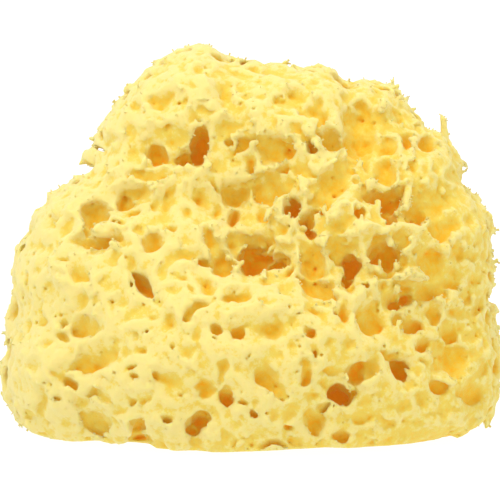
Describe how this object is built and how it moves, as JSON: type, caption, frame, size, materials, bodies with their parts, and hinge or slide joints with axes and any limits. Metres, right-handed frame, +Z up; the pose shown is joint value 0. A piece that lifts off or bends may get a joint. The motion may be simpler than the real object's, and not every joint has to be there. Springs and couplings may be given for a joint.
{
  "type": "sea sponge",
  "caption": "Natural dry bath sponge, a rounded dome full of canals with ridged pointed skin between them, cut flat where it grew so that it stands on its base",
  "frame": {"origin": "middle of the flat cut base, at the height of the surface that the sponge stands on", "axes": "+X to the right along the widest extent, +Y away from the pictured front, +Z up"},
  "size_m": [0.1398, 0.1112, 0.1084],
  "materials": {
    "sponge_fibre": "matte, dry elastic spongin fibre"
  },
  "bodies": {
    "root": {"sponge": "sponge_fibre"}
  },
  "joints": []
}
